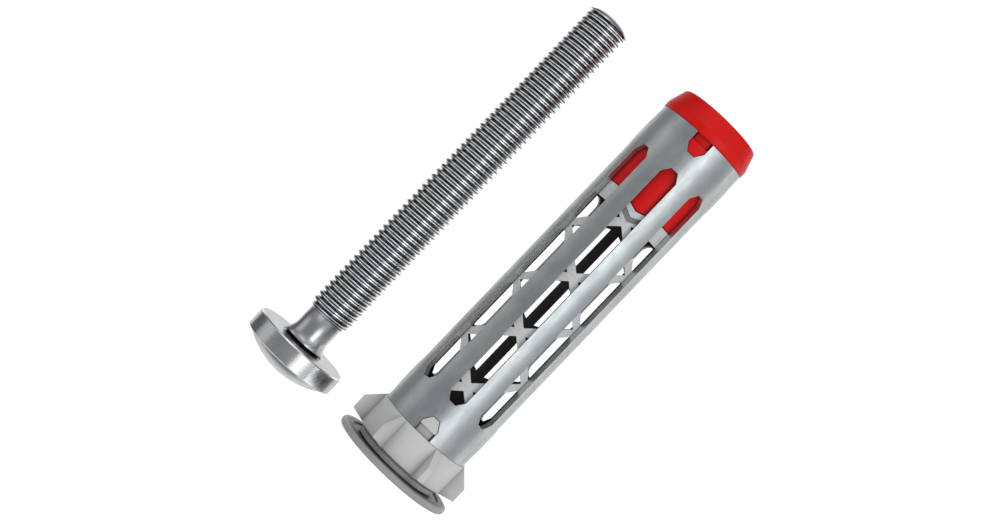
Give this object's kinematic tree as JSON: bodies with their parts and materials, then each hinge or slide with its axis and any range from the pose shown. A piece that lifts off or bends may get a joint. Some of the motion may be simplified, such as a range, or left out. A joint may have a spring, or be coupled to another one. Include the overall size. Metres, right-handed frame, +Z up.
{
  "type": "wall anchor",
  "caption": "Slotted steel sleeve anchor with a lattice cage, plastic collar and flange, red tip cap with a captive nut, and a loose mushroom-head bolt laid beside it.",
  "frame": {"origin": "centre of the flange's outer face, on the anchor's axis, at the mouth of the bolt passage", "axes": "+X along the anchor from the flange to the tip, which is the way it goes into the wall; +Y towards the bolt that lies beside it; +Z up from the surface that both lie on"},
  "size_m": [0.1215, 0.0679, 0.0344],
  "materials": {
    "sleeve_steel": "zinc plated, satin",
    "cage_plastic": "moulded, satin",
    "collar_plastic": "moulded, satin",
    "flange_plastic": "moulded, satin",
    "cap_plastic": "moulded, satin",
    "nut_steel": "zinc plated",
    "bolt_steel": "bright zinc",
    "head_steel": "bright zinc, turned"
  },
  "bodies": {
    "anchor": {"perforated_sleeve": "sleeve_steel", "lattice_cage": "cage_plastic"},
    "collar": {"collar": "collar_plastic", "flange_ring": "flange_plastic"},
    "tip": {"tip_cap": "cap_plastic", "nut_insert": "nut_steel"},
    "bolt_head": {"mushroom_head": "head_steel", "retaining_ring": "nut_steel"},
    "stud": {"threaded_stud": "bolt_steel"}
  },
  "joints": [
    {"name": "collar_pull", "type": "slide", "parent": "anchor", "child": "collar", "axis": [-1, 0, 0], "range_m": [0, 0.02]},
    {"name": "tip_pull", "type": "slide", "parent": "anchor", "child": "tip", "axis": [1, 0, 0], "range_m": [0, 0.03]},
    {"name": "bolt_travel", "type": "slide", "parent": "anchor", "child": "bolt_head", "axis": [-1, 0, 0], "range_m": [0, 0.12]},
    {"name": "stud_turn", "type": "hinge", "parent": "bolt_head", "child": "stud", "pos_m": [0.0064, 0.0374, -0.00395], "axis": [1, 0, 0], "continuous": true}
  ]
}
